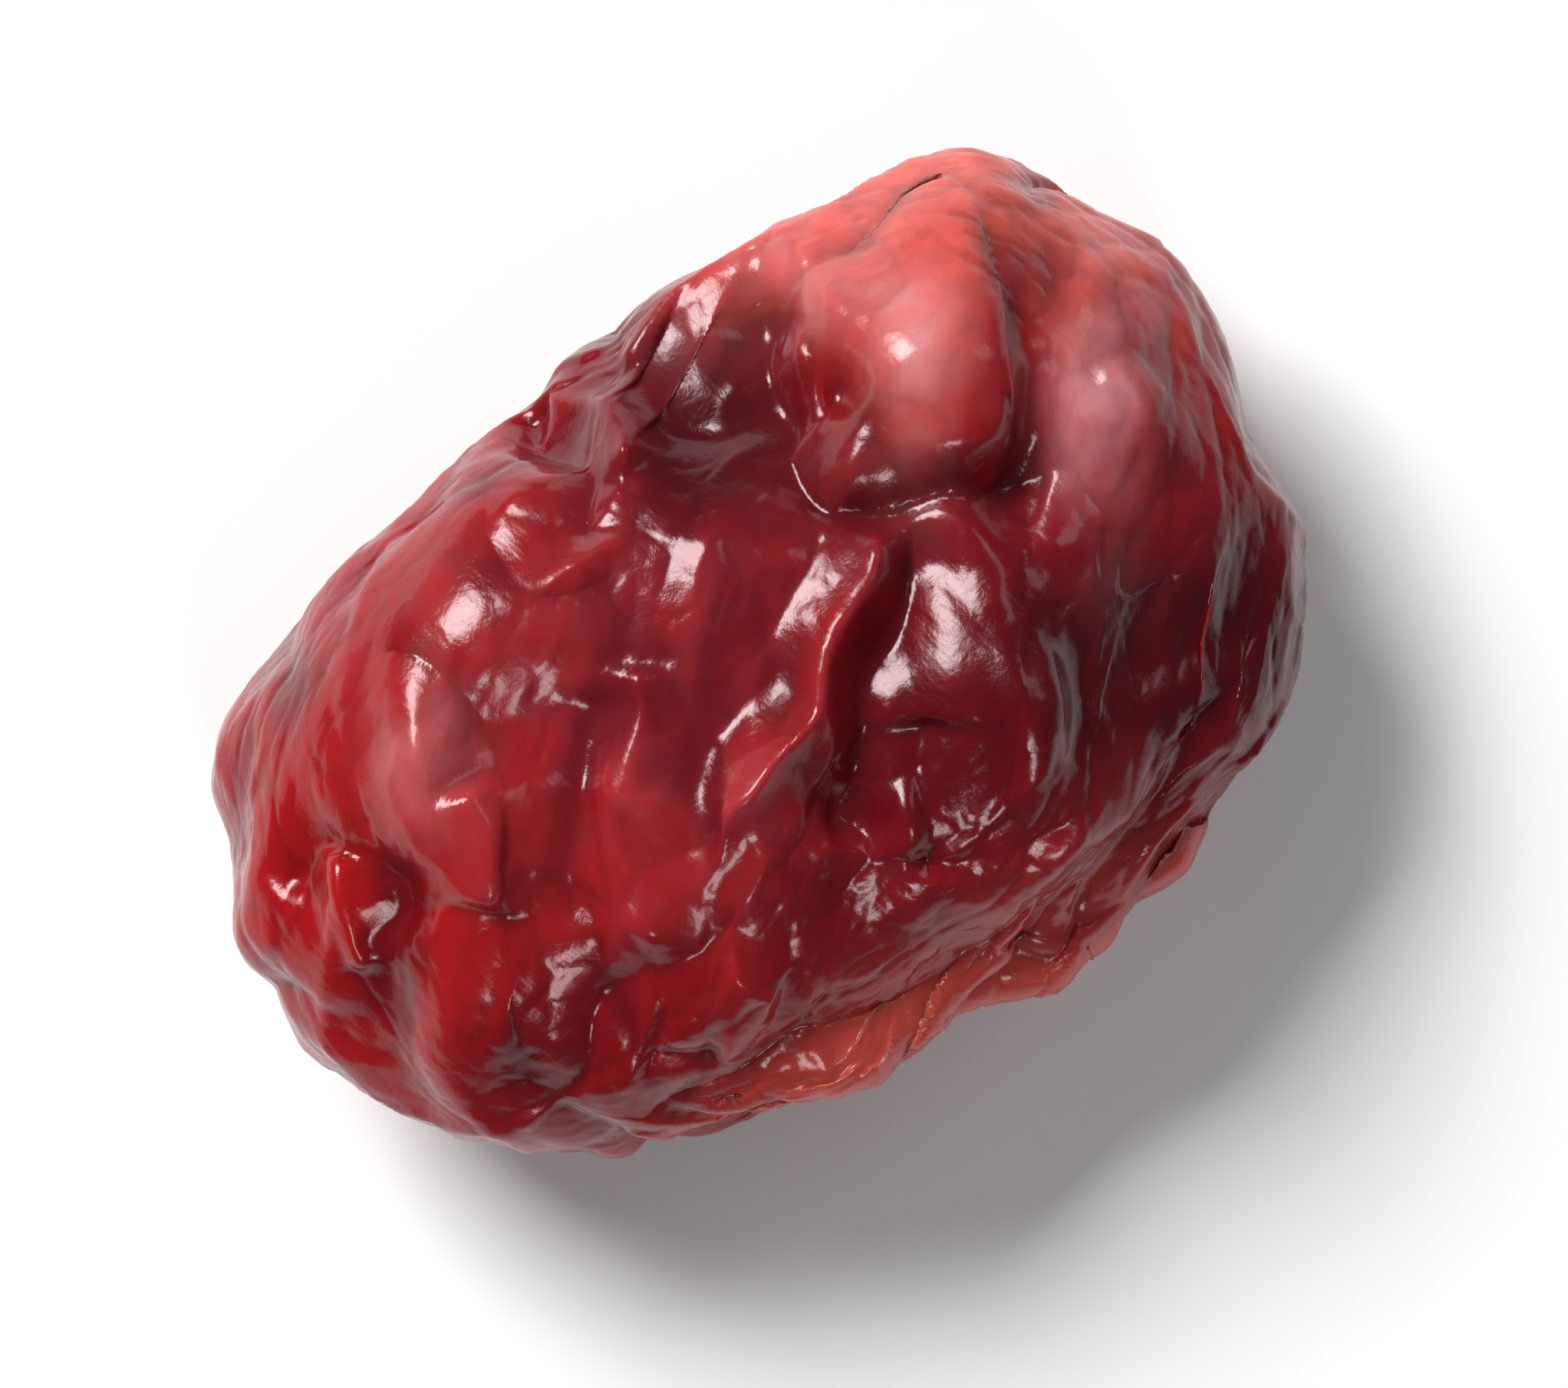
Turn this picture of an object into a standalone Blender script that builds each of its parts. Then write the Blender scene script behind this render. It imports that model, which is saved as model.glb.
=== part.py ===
"""One dried cranberry, modelled as the single wrinkled piece that it is.

The berry lies on a small flat spot at z = 0. Its long way runs along X, with
the pale tip at +X, and its cut mouth, with a rolled lip over it, faces -Y.
Dimensions here are in millimetres and the finished mesh is scaled to metres.
"""
import math

import bmesh
import bpy
import numpy as np
from mathutils import Vector, noise

NAME = "cranberry"
METRES_PER_MM = 0.001

# Edge seen from above: (degrees round from +X, distance from the middle). The
# stretch from 230 to 300 is drawn in a little, because the lip swells out there.
OUTLINE = (
    (0, 7.08), (16, 6.88), (30, 5.98), (42, 5.38), (55, 5.02), (70, 4.70),
    (83, 4.34), (97, 4.64), (108, 4.94), (120, 5.56), (138, 6.60), (150, 6.98),
    (162, 7.28), (178, 7.08), (190, 6.92), (200, 6.57), (210, 6.32), (223, 5.74),
    (237, 5.20), (254, 4.96), (270, 5.18), (285, 5.50), (297, 5.96), (311, 6.72),
    (325, 6.88), (340, 6.95),
)

RELIEF_ALLOWANCE = 0.2     # wrinkles stand out of the smooth body by about this
WIDEST_Z = 2.9             # height at which the berry is widest
CROWN_RISE = 3.35          # from the widest height up to the crown
BELLY_DROP = 3.12          # from the widest height down to the uncut belly
ROUNDNESS = 0.86           # 1 is an ellipsoid, less is plumper at the shoulders
BELLY_ROUNDNESS = 1.0      # the same for the side that it lies on
TIP_DROOP = 0.55           # how far the crown sinks towards the tip
TIP_DROOP_SPAN = (-1.0, 6.5)               # where along X the crown sinks
BOX_MIDDLE = np.array((-0.05, -0.45, 0.0))     # middle of the finished berry, from above
CELLS = 28                 # faces along each edge of the cube that becomes the ball
FINER_SIDE = np.array((0.0, -0.14, 0.26))      # the side where the faces are smaller

# The mouth: a cleft along the -Y side, between two puckered lips. It gapes
# towards -X and narrows to a crease towards the tip.
MOUTH_START = np.array((-5.0, -4.1, 2.95))
MOUTH_END = np.array((3.6, -5.4, 1.75))
MOUTH_HALF_HEIGHT = 0.6
MOUTH_NARROWING = 0.62     # share of that height lost towards the tip
MOUTH_DEPTH = 2.3
MOUTH_CLIMB = 0.25         # how far the mouth climbs for each millimetre inwards
MOUTH_WAVE = 0.2           # how far the mouth wanders up and down
MOUTH_WAVE_START = 0.6     # radians of that wave at the mouth's start
MOUTH_WAVE_RUN = 6.0       # and from there to its end
MOUTH_EDGE = 2.6           # 2 rounds the mouth's edge softly, more makes it square
LIP_RISE = 0.46
LIP_HALF_HEIGHT = 0.5
LIP_WIDTH = 0.5            # from the edge of the mouth to the crest of each lip
PUCKER = 0.85              # length of the puckers along the lips
PUCKER_FLOOR = 0.75        # share of the lip's rise between two puckers
PUCKER_RISE = 0.6          # further share on them

# Lobes and hollows of the upper side: middle, half length, half width,
# degrees round from +X, and rise (a fall where it is negative).
LOBES = (
    ((4.7, 1.2), 2.2, 1.7, 30, 0.42),       # pale tip lobe
    ((4.0, 0.3), 1.5, 0.8, 42, 0.28),       # its brightest swell
    ((5.37, -0.94), 1.2, 0.55, 42, 0.34),   # swell beside it
    ((3.13, 1.64), 0.55, 0.32, 42, -0.5),   # pit in the tip lobe
    ((4.55, -0.05), 1.3, 0.35, 42, -0.24),  # valley between the two swells
    ((1.65, 2.95), 1.5, 0.9, -72, -0.65),   # deep hollow behind the tip lobe
    ((3.5, -3.5), 1.6, 1.0, -45, -0.50),    # sunken shoulder
    ((-2.2, 1.5), 1.2, 0.7, 35, -0.24),     # shallow dip inside the long swell
    ((1.85, -2.55), 1.25, 0.95, 15, 0.55),  # three-cornered swell
    ((0.0, -2.4), 0.6, 0.45, 40, 0.42),
    ((-0.65, -1.15), 1.1, 0.6, 5, 0.16),    # where the lengthwise ridge is widest
    ((-1.35, 2.95), 1.9, 1.05, 12, 0.36),   # the long swell, and where it turns down
    ((-3.7, 1.75), 1.6, 0.85, 48, 0.36),
    ((-0.7, -2.6), 1.2, 0.7, 10, -0.22),
    ((-4.87, -0.67), 0.7, 0.35, 35, 0.18),
    ((-3.31, -1.31), 0.45, 0.35, 40, 0.18),
    ((0.82, -4.2), 0.8, 0.35, 0, 0.18),
    ((-5.4, -0.1), 1.3, 0.9, 60, 0.20),
)

# Creases and ridges of the upper side: half width, rise and the path.
FOLDS = (
    # The transverse fold that bounds the tip lobe, and the lobe's rolled edge
    (0.55, -0.55, ((3.5, 3.3), (3.05, 2.6), (2.5, 2.05), (2.2, 1.45), (2.2, 0.8), (2.45, 0.2),
                   (3.0, -0.45), (3.7, -1.05), (4.5, -1.6))),
    (0.4, 0.12, ((3.45, 2.5), (3.05, 1.95), (2.8, 1.4), (2.85, 0.85), (3.1, 0.4),
                 (3.5, -0.1), (4.2, -0.7))),
    # The lengthwise ridge, with a crease along each side
    (0.33, 0.33, ((2.3, 0.42), (1.59, -0.05), (0.94, -0.5), (0.22, -0.98), (-0.66, -1.05),
                  (-1.4, -1.15), (-2.6, -1.4))),
    (0.45, -0.46, ((2.5, -0.05), (1.3, -0.95), (0.45, -1.55), (-0.38, -1.8), (-1.2, -2.0))),
    (0.55, -0.2, ((1.9, 1.0), (1.2, 0.6), (0.55, 0.15), (-0.1, -0.25), (-0.95, -0.3),
                  (-1.9, -0.5))),
    # From the notch in the edge down to the hollow
    (0.4, -0.36, ((0.45, 4.5), (0.4, 3.5), (-0.1, 2.85), (-0.5, 2.3))),
    (0.3, 0.26, ((0.95, 4.3), (1.0, 3.52), (0.55, 2.75))),
    # Folds of the -X end
    (0.4, -0.26, ((-6.2, 2.5), (-5.0, 2.2), (-4.6, 1.4), (-5.2, 0.4))),
    (0.35, 0.20, ((-4.9, 2.1), (-5.93, 1.1))),
    (0.4, 0.26, ((-3.2, 1.4), (-4.4, 0.3))),
    (0.4, 0.18, ((-0.8, 1.2), (-2.4, -0.2))),
    (0.35, -0.20, ((-1.4, 1.3), (-2.9, 0.1), (-3.9, -0.5))),
    (0.35, -0.22, ((-5.8, -1.8), (-4.3, -1.5), (-3.0, -1.75), (-1.9, -1.9))),
    (0.3, 0.20, ((-2.9, -2.0), (-2.5, -3.1))),
    (0.35, -0.22, ((-4.2, -2.0), (-3.5, -2.9))),
    (0.35, -0.26, ((0.9, -1.9), (0.2, -2.5), (-0.4, -3.3))),
    # The crease inside the lip
    (0.45, -0.30, ((3.9, -4.6), (2.2, -4.7), (0.65, -4.72), (-0.91, -4.3), (-2.98, -3.55),
                   (-4.8, -2.8), (-6.0, -1.9))),
)
FOLD_SHARPNESS = 1.25      # 1 is a sharp bottom, 2 a round one
FOLD_DRIFT = 0.42          # how far lobes and folds stray from their paths
FOLD_DRIFT_SIZE = 1.3      # over about this length

# Wrinkles over the whole skin: swells with creases between them, and sunken
# bowls, coarse and small, with ridges between them.
SWELL_SIZE = 2.3
SWELL_DEPTH = 0.24
SWELL_GAIN = 2.2           # brings most crests up to 1, where they flatten
SWELL_DRIFT = 0.9
SWELL_DRIFT_RATE = 0.6
CALM_TOP = 0.55            # share of the swells lost on the upper side
BOWL_SIZE = 2.0
BOWL_DEPTH = 0.36
SMALL_BOWL_SIZE = 0.95
SMALL_BOWL_DEPTH = 0.07
BOWL_RIM = 1.2             # ridges between bowls flatten above this
BOWL_CURVE = 1.6           # 1 makes bowls conical, 2 round
BOWL_MEAN = 0.45           # about the mean height, which the skin keeps
BOWL_DRIFT = 0.7
BOWL_DRIFT_RATE = 0.8
BOWL_SHIFT = Vector((3.1, 8.2, 5.7))
SMALL_BOWL_SHIFT = Vector((9.1, 0.2, 2.7))
DRIFT_SHIFTS = (Vector((7.3, 1.9, 4.4)), Vector((2.6, 9.1, 0.7)), Vector((5.2, 3.8, 8.5)))
WRINKLE_TURN = 38.0        # degrees round from +X along which the wrinkles run
WRINKLE_STRETCH = 0.55     # below 1 they run longer that way than across it

# Where the skin is stretched smooth: middle, half length, half width, degrees
SMOOTH_SPOTS = (
    ((1.8, 2.8), 2.1, 1.4, -72),        # the deep hollow
    ((1.75, -1.45), 1.2, 0.8, 10),      # the flank of the three-cornered swell
    ((-2.0, 3.1), 2.0, 0.95, 12),       # the long swell
    ((4.0, 0.9), 1.4, 0.6, 42),         # the tip lobe's brightest swell
)
SMOOTH_SHARE = 0.85        # share of both bowls lost there

SOFTENING = 0.5            # how much the coarse faces are eased

SKIN_COLOUR = (0.21, 0.012, 0.016, 1.0)
SKIN_ROUGHNESS = 0.34


def smoothstep(low, high, value):
    """Rise smoothly from 0 at low to 1 at high."""
    t = np.clip((value - low) / (high - low), 0.0, 1.0)
    return t * t * (3.0 - 2.0 * t)


def outline_radius(angle):
    """Distance of the outline from the middle, by a curve through its points."""
    degrees = np.degrees(angle) % 360.0
    at = np.array([a for a, _ in OUTLINE], float)
    radius = np.array([r for _, r in OUTLINE])
    at = np.concatenate((at[-2:] - 360.0, at, at[:2] + 360.0))
    radius = np.concatenate((radius[-2:], radius, radius[:2]))
    i = np.searchsorted(at, degrees, side="right") - 1
    span = at[i + 1] - at[i]
    t = (degrees - at[i]) / span
    slope1 = (radius[i + 1] - radius[i - 1]) / (at[i + 1] - at[i - 1]) * span
    slope2 = (radius[i + 2] - radius[i]) / (at[i + 2] - at[i]) * span
    t2 = t * t
    t3 = t2 * t
    return ((2 * t3 - 3 * t2 + 1) * radius[i] + (t3 - 2 * t2 + t) * slope1
            + (3 * t2 - 2 * t3) * radius[i + 1] + (t3 - t2) * slope2)


def make_ball(cells):
    """A ball of even faces, as a mesh: a cube cut into cells and blown up round."""
    bm = bmesh.new()
    bmesh.ops.create_cube(bm, size=2.0)
    bmesh.ops.subdivide_edges(bm, edges=bm.edges[:], cuts=cells - 1, use_grid_fill=True)
    mesh = bpy.data.meshes.new(NAME)
    bm.to_mesh(mesh)
    bm.free()
    even = np.tan(points_of(mesh) * math.pi / 4.0)
    even /= np.linalg.norm(even, axis=1, keepdims=True)
    even += FINER_SIDE
    place(mesh, even / np.linalg.norm(even, axis=1, keepdims=True))
    return mesh


def points_of(mesh):
    """Every point of the mesh, one a row."""
    values = np.empty(len(mesh.vertices) * 3)
    mesh.vertices.foreach_get("co", values)
    return values.reshape(-1, 3)


def normals_of(mesh):
    """Every point's normal, one a row."""
    values = np.empty(len(mesh.vertices) * 3, dtype=np.float32)
    mesh.vertex_normals.foreach_get("vector", values)
    return values.reshape(-1, 3).astype(float)


def place(mesh, points):
    """Move the mesh's points."""
    mesh.vertices.foreach_set("co", points.ravel())
    mesh.update()


def push(mesh, height):
    """Push every point along its normal."""
    place(mesh, points_of(mesh) + normals_of(mesh) * height[:, None])


def body_points(direction):
    """Where directions from the middle meet the smooth, unwrinkled berry."""
    across = np.hypot(direction[:, 0], direction[:, 1])
    upper = direction[:, 2] > 0.0
    roundness = np.where(upper, ROUNDNESS, BELLY_ROUNDNESS)
    edge = outline_radius(np.arctan2(direction[:, 1], direction[:, 0])) - RELIEF_ALLOWANCE
    reach = edge * across ** roundness / np.maximum(across, 1e-9)
    plan = direction[:, :2] * reach[:, None]
    steep = np.abs(direction[:, 2]) ** roundness
    crown = CROWN_RISE - TIP_DROOP * smoothstep(*TIP_DROOP_SPAN, plan[:, 0])
    z = WIDEST_Z + np.where(upper, crown, -BELLY_DROP) * steep
    return np.column_stack((plan, z))


def along_path(path, plan):
    """Distance from spots to a path, and how far along the path each is."""
    best = np.full(len(plan), np.inf)
    where = np.zeros(len(plan))
    for i in range(len(path) - 1):
        start = np.array(path[i])
        run = np.array(path[i + 1]) - start
        t = np.clip((plan - start) @ run / (run @ run), 0.0, 1.0)
        gap = np.linalg.norm(plan - start - t[:, None] * run, axis=1)
        nearer = gap < best
        best = np.where(nearer, gap, best)
        where = np.where(nearer, (i + t) / (len(path) - 1), where)
    return best, where


def blob(plan, middle, half_length, half_width, degrees):
    """1 at the middle of an oval, fading to 0 round it."""
    turn = math.radians(degrees)
    offset = plan - np.array(middle)
    along = offset[:, 0] * math.cos(turn) + offset[:, 1] * math.sin(turn)
    aside = offset[:, 1] * math.cos(turn) - offset[:, 0] * math.sin(turn)
    return np.exp(-(along / half_length) ** 2 - (aside / half_width) ** 2)


def lobe_height(plan):
    """Broad swells and hollows of the upper side."""
    height = np.zeros(len(plan))
    for middle, half_length, half_width, degrees, rise in LOBES:
        height += rise * blob(plan, middle, half_length, half_width, degrees)
    return height


def fold_height(plan):
    """Creases and ridges of the upper side, fading at their ends."""
    height = np.zeros(len(plan))
    for half_width, rise, path in FOLDS:
        gap, t = along_path(path, plan)
        fade = smoothstep(0.0, 0.12, t) * smoothstep(0.0, 0.2, 1.0 - t)
        height += rise * fade * np.exp(-(gap / half_width) ** FOLD_SHARPNESS)
    return height


def drift(spot, rate):
    """A slow, smooth wandering of a spot."""
    slow = spot * rate
    return Vector([noise.noise(slow + shift) for shift in DRIFT_SHIFTS])


def wrinkle_space(points, size):
    """Points turned and stretched so that wrinkles run one way."""
    turn = math.radians(WRINKLE_TURN)
    along = points[:, 0] * math.cos(turn) + points[:, 1] * math.sin(turn)
    aside = points[:, 1] * math.cos(turn) - points[:, 0] * math.sin(turn)
    spots = np.column_stack((along * WRINKLE_STRETCH, aside, points[:, 2])) / size
    return [Vector(spot) for spot in spots]


def swells(points):
    """Rounded swells, 1 at their crests, with a sharp crease between them."""
    values = []
    for spot in wrinkle_space(points, SWELL_SIZE):
        strayed = spot + drift(spot, SWELL_DRIFT_RATE) * SWELL_DRIFT
        values.append(SWELL_GAIN * abs(noise.noise(strayed)))
    return np.minimum(values, 1.0)


def bowls(points, size, shift):
    """Sunken bowls between ridges, about 0 on the whole."""
    values = []
    for spot in wrinkle_space(points, size):
        spot = spot + shift
        strayed = spot + drift(spot, BOWL_DRIFT_RATE) * BOWL_DRIFT
        values.append(noise.voronoi(strayed)[0][0])
    return np.minimum(values, BOWL_RIM) ** BOWL_CURVE - BOWL_MEAN


def cleft(points):
    """How far into the mouth (1 at its middle) and how near a lip's crest."""
    run = MOUTH_END - MOUTH_START
    t = (points - MOUTH_START) @ run / (run @ run)
    wave = MOUTH_WAVE * np.sin(MOUTH_WAVE_RUN * t + MOUTH_WAVE_START)
    up = np.abs(points[:, 2] - (MOUTH_START[2] + run[2] * t) - wave)
    gape = MOUTH_HALF_HEIGHT * (1.0 - MOUTH_NARROWING * smoothstep(0.3, 0.95, t))
    ends = smoothstep(-0.1, 0.25, t) * smoothstep(-0.1, 0.3, 1.0 - t)
    inside = np.exp(-(up / gape) ** MOUTH_EDGE) * ends * gape / MOUTH_HALF_HEIGHT
    ripple = np.array([noise.noise(Vector((x / PUCKER, 0.3 * u, 2.7)))
                       for x, u in zip(points[:, 0], up)])
    pucker = PUCKER_FLOOR + PUCKER_RISE * np.abs(ripple)
    lip = np.exp(-((up - gape - LIP_WIDTH) / LIP_HALF_HEIGHT) ** 2) * ends * pucker
    front = points[:, 1] < 0.0
    return inside * front, lip * front


def smoothness(points):
    """1 in the smooth spots of the upper side, fading to 0 round them."""
    spots = [blob(points[:, :2], *spot) for spot in SMOOTH_SPOTS]
    return np.max(spots, axis=0) * (points[:, 2] > WIDEST_Z)


def wrinkle(mesh):
    """Raise the wrinkles over the whole skin, calmer on the upper side."""
    points = points_of(mesh)
    calm = 1.0 - CALM_TOP * smoothstep(0.3, 0.85, normals_of(mesh)[:, 2])
    dimpled = 1.0 - SMOOTH_SHARE * smoothness(points)
    height = SWELL_DEPTH * calm * (swells(points) - 0.5)
    height += BOWL_DEPTH * dimpled * bowls(points, BOWL_SIZE, BOWL_SHIFT)
    height += SMALL_BOWL_DEPTH * dimpled * bowls(points, SMALL_BOWL_SIZE, SMALL_BOWL_SHIFT)
    push(mesh, height)


def fold(mesh):
    """Raise the lobes and folds, which fade out round the berry's waist."""
    points = points_of(mesh)
    stray = [drift(Vector(point), 1.0 / FOLD_DRIFT_SIZE)[:2] for point in points]
    plan = points[:, :2] + FOLD_DRIFT * np.array(stray)
    top = smoothstep(-0.1, 0.45, normals_of(mesh)[:, 2])
    push(mesh, top * (lobe_height(plan) + fold_height(plan)))


def open_mouth(mesh):
    """Swell the lips out and push the mouth in towards the middle."""
    push(mesh, LIP_RISE * cleft(points_of(mesh))[1])
    points = points_of(mesh)
    depth = MOUTH_DEPTH * cleft(points)[0]
    points[:, 1] += depth
    points[:, 2] += MOUTH_CLIMB * depth
    place(mesh, points)


def soften(mesh):
    """Ease the sharpest points where the faces are too coarse for a crease."""
    bm = bmesh.new()
    bm.from_mesh(mesh)
    bmesh.ops.smooth_vert(bm, verts=bm.verts[:], factor=SOFTENING,
                          use_axis_x=True, use_axis_y=True, use_axis_z=True)
    bm.to_mesh(mesh)
    bm.free()


def settle(mesh):
    """Flatten the belly where the berry rests, and put the berry in its place."""
    points = points_of(mesh)
    points[:, 2] = np.maximum(points[:, 2], 0.0)
    place(mesh, (points - BOX_MIDDLE) * METRES_PER_MM)


def skin_material():
    """Deep red, fairly glossy fruit skin."""
    material = bpy.data.materials.new("berry_skin")
    material.use_nodes = True
    shader = material.node_tree.nodes["Principled BSDF"]
    shader.inputs["Base Color"].default_value = SKIN_COLOUR
    shader.inputs["Roughness"].default_value = SKIN_ROUGHNESS
    shader.inputs["Metallic"].default_value = 0.0
    material.diffuse_color = SKIN_COLOUR
    return material


def make_berry(collection):
    """The whole berry as one closed mesh."""
    mesh = make_ball(CELLS)
    place(mesh, body_points(points_of(mesh)))
    wrinkle(mesh)
    fold(mesh)
    open_mouth(mesh)
    soften(mesh)
    settle(mesh)
    mesh.shade_smooth()
    mesh.materials.append(skin_material())
    berry = bpy.data.objects.new(NAME, mesh)
    collection.objects.link(berry)
    return berry


def main():
    for old in list(bpy.data.objects):
        bpy.data.objects.remove(old)
    collection = bpy.data.collections.new(NAME)
    bpy.context.scene.collection.children.link(collection)
    make_berry(collection)


main()
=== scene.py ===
"""The dried cranberry's finished surface, its floor, lights and camera.

The berry's form repeats the part's own formula and named dimensions on a much
finer ball, and then adds the small creases, the grain and the torn flesh inside
the mouth. Dimensions are in millimetres, and become metres at the end.
"""
import math

import bmesh
import bpy
import numpy as np
from mathutils import Matrix, Vector, noise


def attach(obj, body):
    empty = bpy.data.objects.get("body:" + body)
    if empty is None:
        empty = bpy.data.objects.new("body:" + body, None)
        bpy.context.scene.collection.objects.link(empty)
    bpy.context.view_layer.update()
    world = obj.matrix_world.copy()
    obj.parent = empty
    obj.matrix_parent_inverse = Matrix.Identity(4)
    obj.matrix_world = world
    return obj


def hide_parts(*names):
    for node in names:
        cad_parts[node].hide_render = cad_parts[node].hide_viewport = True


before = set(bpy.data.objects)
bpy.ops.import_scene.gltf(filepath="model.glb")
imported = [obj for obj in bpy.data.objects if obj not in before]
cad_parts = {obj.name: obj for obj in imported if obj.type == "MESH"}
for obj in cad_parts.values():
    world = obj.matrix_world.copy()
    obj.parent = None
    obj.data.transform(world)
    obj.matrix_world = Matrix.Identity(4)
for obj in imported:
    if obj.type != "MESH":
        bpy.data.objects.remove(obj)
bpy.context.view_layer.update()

NAME = "cranberry"
METRES_PER_MM = 0.001

# The photograph looks straight down, and the berry lies turned in it: these
# are the picture's right and up directions in the part's own frame.
PICTURE_RIGHT = Vector((0.674, -0.738, 0.0)).normalized()
PICTURE_UP = Vector((0.738, 0.674, 0.0)).normalized()
PHOTO_SIZE = (2044, 1810)

# Edge seen from above: (degrees round from +X, distance from the middle). The
# stretch from 230 to 300 is drawn in a little, because the lip swells out there.
OUTLINE = (
    (0, 7.08), (16, 6.88), (30, 5.98), (42, 5.38), (55, 5.02), (70, 4.70),
    (83, 4.34), (97, 4.64), (108, 4.94), (120, 5.56), (138, 6.60), (150, 6.98),
    (162, 7.28), (178, 7.08), (190, 6.92), (200, 6.57), (210, 6.32), (223, 5.74),
    (237, 5.20), (254, 4.96), (270, 5.18), (285, 5.50), (297, 5.96), (311, 6.72),
    (325, 6.88), (340, 6.95),
)

RELIEF_ALLOWANCE = 0.2     # wrinkles stand out of the smooth body by about this
WIDEST_Z = 2.9             # height at which the berry is widest
CROWN_RISE = 3.35          # from the widest height up to the crown
BELLY_DROP = 3.12          # from the widest height down to the uncut belly
ROUNDNESS = 0.86           # 1 is an ellipsoid, less is plumper at the shoulders
BELLY_ROUNDNESS = 1.0      # the same for the side that it lies on
TIP_DROOP = 0.55           # how far the crown sinks towards the tip
TIP_DROOP_SPAN = (-1.0, 6.5)               # where along X the crown sinks
BOX_MIDDLE = np.array((-0.05, -0.45, 0.0))     # middle of the finished berry, from above
CELLS = 124     # faces along each edge of the cube
FINER_SIDE = np.array((0.0, -0.14, 0.26))      # the side where the faces are smaller

# The mouth: a cleft along the -Y side, between two puckered lips. It gapes
# towards -X and narrows to a crease towards the tip.
MOUTH_START = np.array((-5.0, -4.1, 2.95))
MOUTH_END = np.array((3.6, -5.4, 1.75))
MOUTH_HALF_HEIGHT = 0.6
MOUTH_NARROWING = 0.62     # share of that height lost towards the tip
MOUTH_DEPTH = 2.3
MOUTH_CLIMB = 0.25         # how far the mouth climbs for each millimetre inwards
MOUTH_WAVE = 0.2           # how far the mouth wanders up and down
MOUTH_WAVE_START = 0.6     # radians of that wave at the mouth's start
MOUTH_WAVE_RUN = 6.0       # and from there to its end
MOUTH_EDGE = 2.6           # 2 rounds the mouth's edge softly, more makes it square
LIP_RISE = 0.46
LIP_HALF_HEIGHT = 0.5
LIP_WIDTH = 0.5            # from the edge of the mouth to the crest of each lip
PUCKER = 0.85              # length of the puckers along the lips
PUCKER_FLOOR = 0.75        # share of the lip's rise between two puckers
PUCKER_RISE = 0.6          # further share on them

# Lobes and hollows of the upper side: middle, half length, half width,
# degrees round from +X, and rise (a fall where it is negative).
LOBES = (
    ((4.7, 1.2), 2.2, 1.7, 30, 0.42),       # pale tip lobe
    ((4.0, 0.3), 1.5, 0.8, 42, 0.28),       # its brightest swell
    ((5.37, -0.94), 1.2, 0.55, 42, 0.34),   # swell beside it
    ((3.13, 1.64), 0.55, 0.32, 42, -0.5),   # pit in the tip lobe
    ((4.55, -0.05), 1.3, 0.35, 42, -0.24),  # valley between the two swells
    ((1.65, 2.95), 1.5, 0.9, -72, -0.65),   # deep hollow behind the tip lobe
    ((3.5, -3.5), 1.6, 1.0, -45, -0.50),    # sunken shoulder
    ((-2.2, 1.5), 1.2, 0.7, 35, -0.24),     # shallow dip inside the long swell
    ((1.85, -2.55), 1.25, 0.95, 15, 0.55),  # three-cornered swell
    ((0.0, -2.4), 0.6, 0.45, 40, 0.42),
    ((-0.65, -1.15), 1.1, 0.6, 5, 0.16),    # where the lengthwise ridge is widest
    ((-1.35, 2.95), 1.9, 1.05, 12, 0.36),   # the long swell, and where it turns down
    ((-3.7, 1.75), 1.6, 0.85, 48, 0.36),
    ((-0.7, -2.6), 1.2, 0.7, 10, -0.22),
    ((-4.87, -0.67), 0.7, 0.35, 35, 0.18),
    ((-3.31, -1.31), 0.45, 0.35, 40, 0.18),
    ((0.82, -4.2), 0.8, 0.35, 0, 0.18),
    ((-5.4, -0.1), 1.3, 0.9, 60, 0.20),
)

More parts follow.
